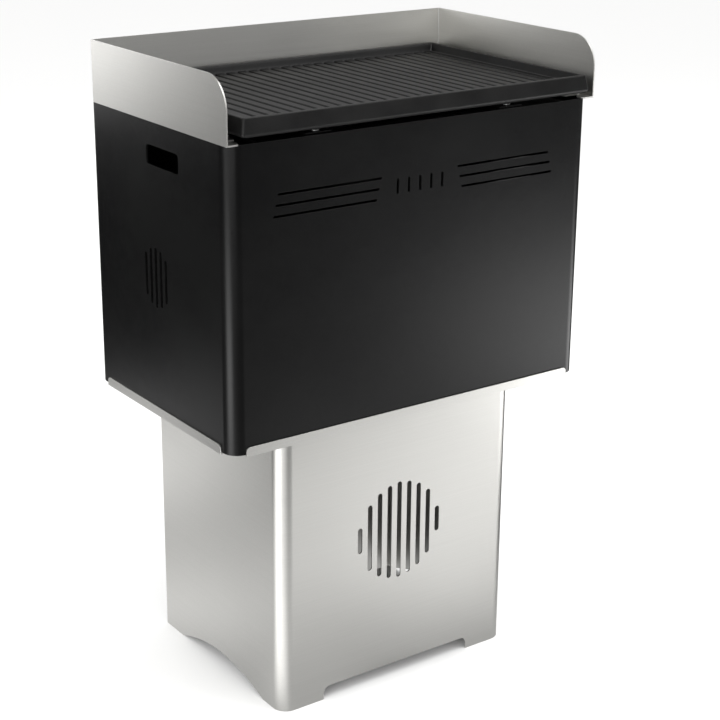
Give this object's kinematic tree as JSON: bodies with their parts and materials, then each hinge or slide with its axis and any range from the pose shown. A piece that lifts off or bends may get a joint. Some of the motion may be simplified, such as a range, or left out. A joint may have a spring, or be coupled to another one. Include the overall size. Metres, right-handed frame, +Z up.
{
  "type": "wood burning stove",
  "caption": "Garden wood burner: slotted black steel fire box with a ribbed cast iron griddle and a steel splash guard, lifted off a folded stainless column with a tray.",
  "frame": {"origin": "on the ground under the middle of the object's outline", "axes": "+Z up, the slotted front looks along -Y, +X to the right seen from the front"},
  "size_m": [0.4546, 0.2922, 0.6967],
  "materials": {
    "stainless": "brushed stainless sheet, satin",
    "black_coat": "matt black heat-resistant powder coat",
    "cast_iron": "fine-grained cast iron, oil-seasoned",
    "zinc_steel": "bright stainless fasteners"
  },
  "bodies": {
    "stand": {"stand_column": "stainless", "stand_back_panel": "stainless", "stand_tray": "stainless", "tray_screw_1": "zinc_steel", "tray_screw_2": "zinc_steel", "tray_screw_3": "zinc_steel", "tray_screw_4": "zinc_steel", "tray_screw_5": "zinc_steel", "tray_screw_6": "zinc_steel", "tray_nut_1": "zinc_steel", "tray_nut_2": "zinc_steel", "tray_nut_3": "zinc_steel", "tray_nut_4": "zinc_steel", "tray_nut_5": "zinc_steel", "tray_nut_6": "zinc_steel"},
    "fire_box": {"firebox_shell": "black_coat", "firebox_back_panel": "black_coat", "firebox_floor": "black_coat", "grate_ledge_left": "black_coat", "grate_ledge_right": "black_coat", "back_rivet_left_1": "black_coat", "back_rivet_left_2": "black_coat", "back_rivet_left_3": "black_coat", "back_rivet_right_1": "black_coat", "back_rivet_right_2": "black_coat", "back_rivet_right_3": "black_coat", "griddle_rest_front_left": "black_coat", "griddle_rest_front_right": "black_coat", "griddle_rest_rear_left": "black_coat", "griddle_rest_rear_right": "black_coat", "rest_screw_front_left": "zinc_steel", "rest_screw_front_right": "zinc_steel", "rest_screw_rear_left": "zinc_steel", "rest_screw_rear_right": "zinc_steel", "rest_nut_front_left": "zinc_steel", "rest_nut_front_right": "zinc_steel", "rest_nut_rear_left": "zinc_steel", "rest_nut_rear_right": "zinc_steel"},
    "grate": {"fire_grate": "cast_iron"},
    "guard": {"splash_guard": "stainless"},
    "griddle_plate": {"griddle": "cast_iron"}
  },
  "joints": [
    {"name": "fire_box_lift", "type": "slide", "parent": "stand", "child": "fire_box", "axis": [0, 0, 1], "range_m": [0, 0.25]},
    {"name": "grate_lift", "type": "slide", "parent": "fire_box", "child": "grate", "axis": [0, 0, 1], "range_m": [0, 0.2]},
    {"name": "guard_lift", "type": "slide", "parent": "fire_box", "child": "guard", "axis": [0, 0, 1], "range_m": [0, 0.15]},
    {"name": "griddle_lift", "type": "slide", "parent": "guard", "child": "griddle_plate", "axis": [0, 0, 1], "range_m": [0, 0.2]}
  ]
}
